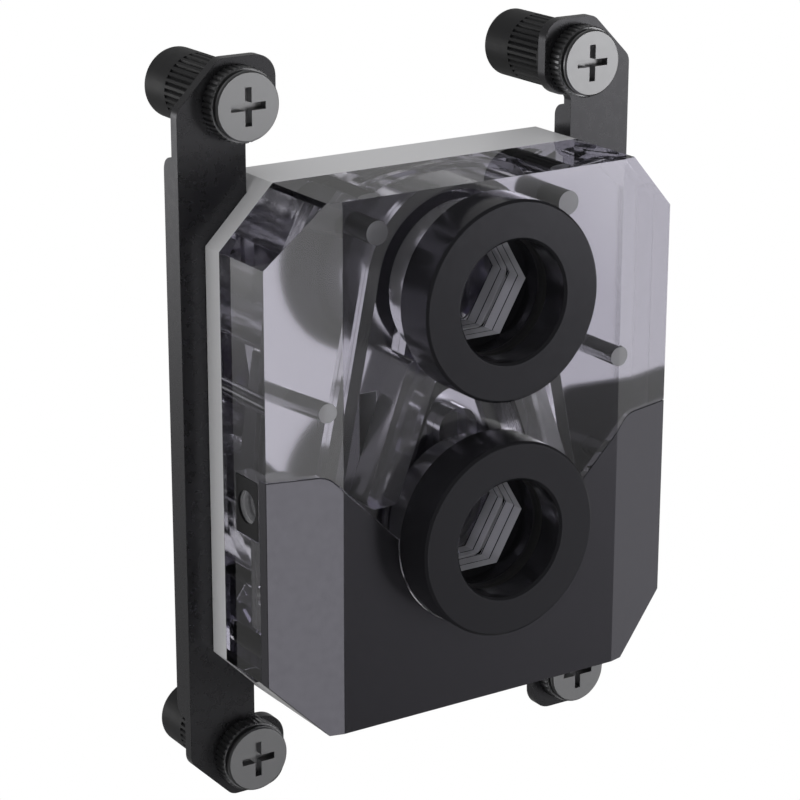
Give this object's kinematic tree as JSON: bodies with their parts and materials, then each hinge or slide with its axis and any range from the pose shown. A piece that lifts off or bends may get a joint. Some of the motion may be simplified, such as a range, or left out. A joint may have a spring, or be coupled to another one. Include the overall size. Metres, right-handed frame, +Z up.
{
  "type": "cpu water block",
  "caption": "Clear block with a dark half cover, stacked round port collars, and side brackets that carry cross-slot thumbscrews and knurled stand-offs.",
  "frame": {"origin": "middle of the cold plate's contact face, on the middle of the screw pattern", "axes": "+Y out of the contact face towards the processor, +Z up along the long side of the screw pattern, the ports face -Y"},
  "size_m": [0.0712, 0.0395, 0.1018],
  "materials": {
    "clear": "clear, polished",
    "rear_layer": "satin",
    "cover": "satin",
    "collar": "semi-gloss",
    "seal": "matt",
    "socket": "semi-gloss",
    "insert": "matt",
    "jet": "satin",
    "plate": "satin plated",
    "bracket": "satin",
    "thumbscrew": "satin, darkened",
    "standoff": "semi-gloss",
    "washer": "matt",
    "dark_screw": "blackened",
    "bright_screw": "satin"
  },
  "bodies": {
    "root": {"front_body": "clear", "rear_body": "rear_layer", "front_cover": "cover", "upper_port_collar": "collar", "lower_port_collar": "collar", "upper_tube_seal": "seal", "lower_tube_seal": "seal", "upper_face_seal": "seal", "lower_face_seal": "seal", "side_socket": "socket", "layer_seal": "seal", "inlet_seal": "seal", "main_seal": "seal", "flow_insert": "insert", "jet_plate": "jet", "cold_plate": "plate", "left_bracket": "bracket", "right_bracket": "bracket", "thumbscrew_top_left": "thumbscrew", "thumbscrew_top_right": "thumbscrew", "thumbscrew_bottom_left": "thumbscrew", "thumbscrew_bottom_right": "thumbscrew", "standoff_top_left": "standoff", "standoff_top_right": "standoff", "standoff_bottom_left": "standoff", "standoff_bottom_right": "standoff", "standoff_washers": "washer", "long_plate_screws": "dark_screw", "short_plate_screws": "bright_screw", "bracket_screws": "dark_screw"}
  },
  "joints": []
}
